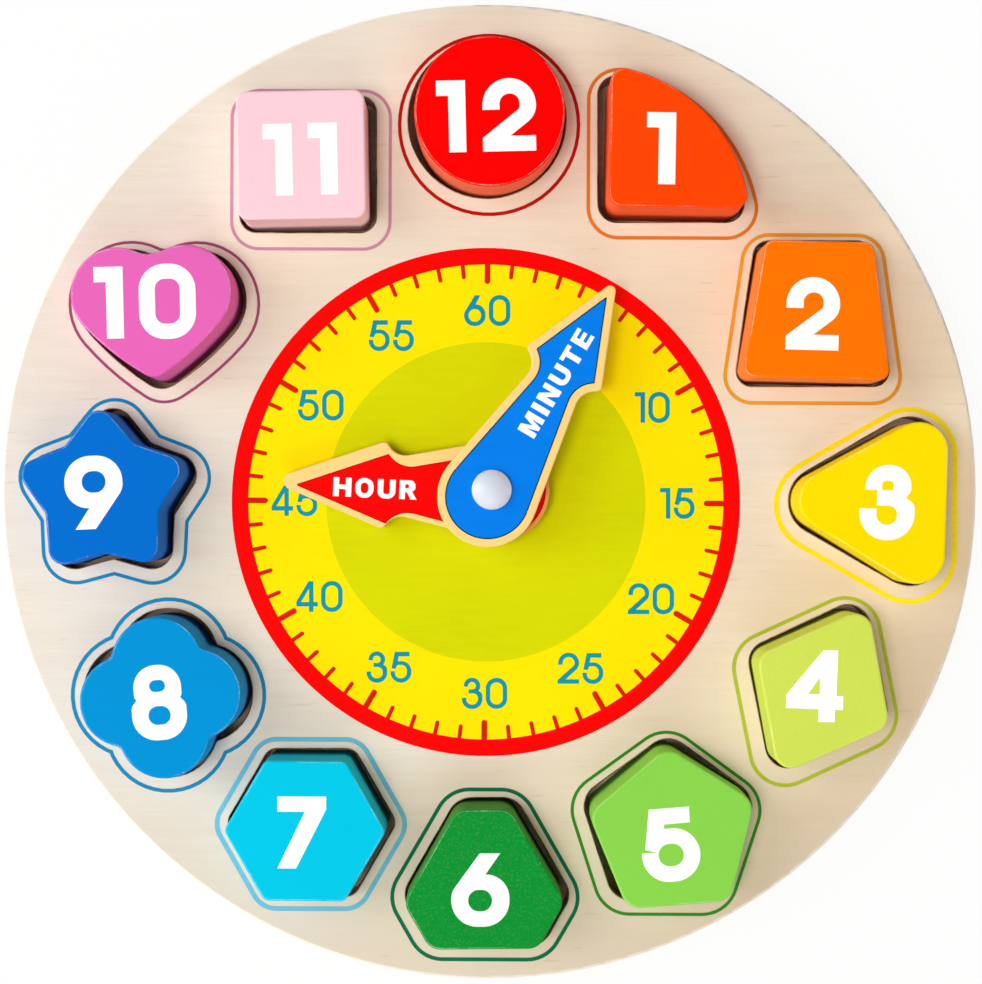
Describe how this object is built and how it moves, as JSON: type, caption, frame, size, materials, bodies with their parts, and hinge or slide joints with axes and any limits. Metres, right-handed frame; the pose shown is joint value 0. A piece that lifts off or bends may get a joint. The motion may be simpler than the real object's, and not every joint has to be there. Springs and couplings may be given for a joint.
{
  "type": "shape sorting clock",
  "caption": "Round wooden toy clock whose numbered shape blocks lift out of matching sockets, and whose hour and minute hands turn on a domed pivot.",
  "frame": {"origin": "centre of the board's flat back face", "axes": "+Z out of the printed face, +Y towards the hour twelve, +X towards the hour three"},
  "size_m": [0.215, 0.215, 0.0233],
  "materials": {
    "back_wood": "bare plywood",
    "face_wood": "bare plywood with a printed dial",
    "painted_wood_red": "painted satin",
    "painted_wood_vermilion": "painted satin",
    "painted_wood_orange": "painted satin",
    "painted_wood_yellow": "painted satin",
    "painted_wood_lime": "painted satin",
    "painted_wood_light_green": "painted satin",
    "painted_wood_green": "painted satin",
    "painted_wood_cyan": "painted satin",
    "painted_wood_sky_blue": "painted satin",
    "painted_wood_blue": "painted satin",
    "painted_wood_pink": "painted satin",
    "painted_wood_pale_pink": "painted satin",
    "painted_wood_hour": "painted satin with a bare border",
    "painted_wood_minute": "painted satin with a bare border",
    "washer_plastic": "moulded",
    "knob_plastic": "moulded",
    "cap_plastic": "moulded"
  },
  "bodies": {
    "root": {"back_panel": "back_wood", "face_panel": "face_wood", "spacer_washer": "washer_plastic", "hand_washer": "washer_plastic", "pivot_knob": "knob_plastic", "back_cap": "cap_plastic"},
    "block_12": {"block_12_disc": "painted_wood_red"},
    "block_1": {"block_1_quarter_disc": "painted_wood_vermilion"},
    "block_2": {"block_2_trapezium": "painted_wood_orange"},
    "block_3": {"block_3_triangle": "painted_wood_yellow"},
    "block_4": {"block_4_rhombus": "painted_wood_lime"},
    "block_5": {"block_5_pentagon": "painted_wood_light_green"},
    "block_6": {"block_6_cut_triangle": "painted_wood_green"},
    "block_7": {"block_7_hexagon": "painted_wood_cyan"},
    "block_8": {"block_8_quatrefoil": "painted_wood_sky_blue"},
    "block_9": {"block_9_star": "painted_wood_blue"},
    "block_10": {"block_10_heart": "painted_wood_pink"},
    "block_11": {"block_11_square": "painted_wood_pale_pink"},
    "hour_hand": {"hour_hand": "painted_wood_hour"},
    "minute_hand": {"minute_hand": "painted_wood_minute"}
  },
  "joints": [
    {"name": "block_12_lift", "type": "slide", "parent": "root", "child": "block_12", "axis": [0, 0, 1], "range_m": [0, 0.025]},
    {"name": "block_1_lift", "type": "slide", "parent": "root", "child": "block_1", "axis": [0, 0, 1], "range_m": [0, 0.025]},
    {"name": "block_2_lift", "type": "slide", "parent": "root", "child": "block_2", "axis": [0, 0, 1], "range_m": [0, 0.025]},
    {"name": "block_3_lift", "type": "slide", "parent": "root", "child": "block_3", "axis": [0, 0, 1], "range_m": [0, 0.025]},
    {"name": "block_4_lift", "type": "slide", "parent": "root", "child": "block_4", "axis": [0, 0, 1], "range_m": [0, 0.025]},
    {"name": "block_5_lift", "type": "slide", "parent": "root", "child": "block_5", "axis": [0, 0, 1], "range_m": [0, 0.025]},
    {"name": "block_6_lift", "type": "slide", "parent": "root", "child": "block_6", "axis": [0, 0, 1], "range_m": [0, 0.025]},
    {"name": "block_7_lift", "type": "slide", "parent": "root", "child": "block_7", "axis": [0, 0, 1], "range_m": [0, 0.025]},
    {"name": "block_8_lift", "type": "slide", "parent": "root", "child": "block_8", "axis": [0, 0, 1], "range_m": [0, 0.025]},
    {"name": "block_9_lift", "type": "slide", "parent": "root", "child": "block_9", "axis": [0, 0, 1], "range_m": [0, 0.025]},
    {"name": "block_10_lift", "type": "slide", "parent": "root", "child": "block_10", "axis": [0, 0, 1], "range_m": [0, 0.025]},
    {"name": "block_11_lift", "type": "slide", "parent": "root", "child": "block_11", "axis": [0, 0, 1], "range_m": [0, 0.025]},
    {"name": "hour_hand_turn", "type": "hinge", "parent": "root", "child": "hour_hand", "pos_m": [0.0006, 0.0003, 0.0137], "axis": [0, 0, 1], "continuous": true},
    {"name": "minute_hand_turn", "type": "hinge", "parent": "root", "child": "minute_hand", "pos_m": [0.0006, 0.0003, 0.0137], "axis": [0, 0, 1], "continuous": true}
  ]
}
